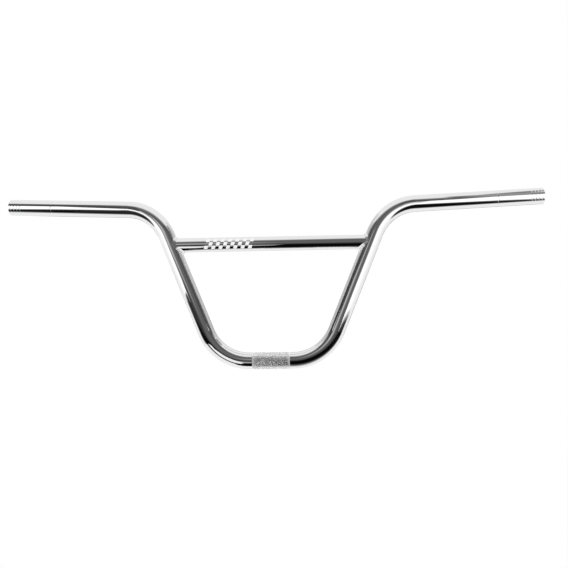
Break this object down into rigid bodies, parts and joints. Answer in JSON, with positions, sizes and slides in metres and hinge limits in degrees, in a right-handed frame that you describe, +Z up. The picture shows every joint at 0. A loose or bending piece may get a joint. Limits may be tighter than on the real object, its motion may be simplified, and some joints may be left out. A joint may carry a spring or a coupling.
{
  "type": "bmx handlebar",
  "caption": "Chromed BMX handlebar: a bent tube with a tall rise and swept-back grips, a straight crossbar welded between its uprights and a knurled band for the stem clamp.",
  "frame": {"origin": "centre of the stem clamp zone, on the tube's axis", "axes": "+X along the clamp zone to the rider's left, +Y back towards the rider, +Z up in the plane of the uprights"},
  "size_m": [0.7492, 0.0639, 0.2453],
  "materials": {
    "tube_chrome": "polished chrome plate",
    "weld_chrome": "chrome plate over a rippled weld bead"
  },
  "bodies": {
    "root": {"main_bar": "tube_chrome", "crossbar": "tube_chrome", "right_weld": "weld_chrome", "left_weld": "weld_chrome"}
  },
  "joints": []
}
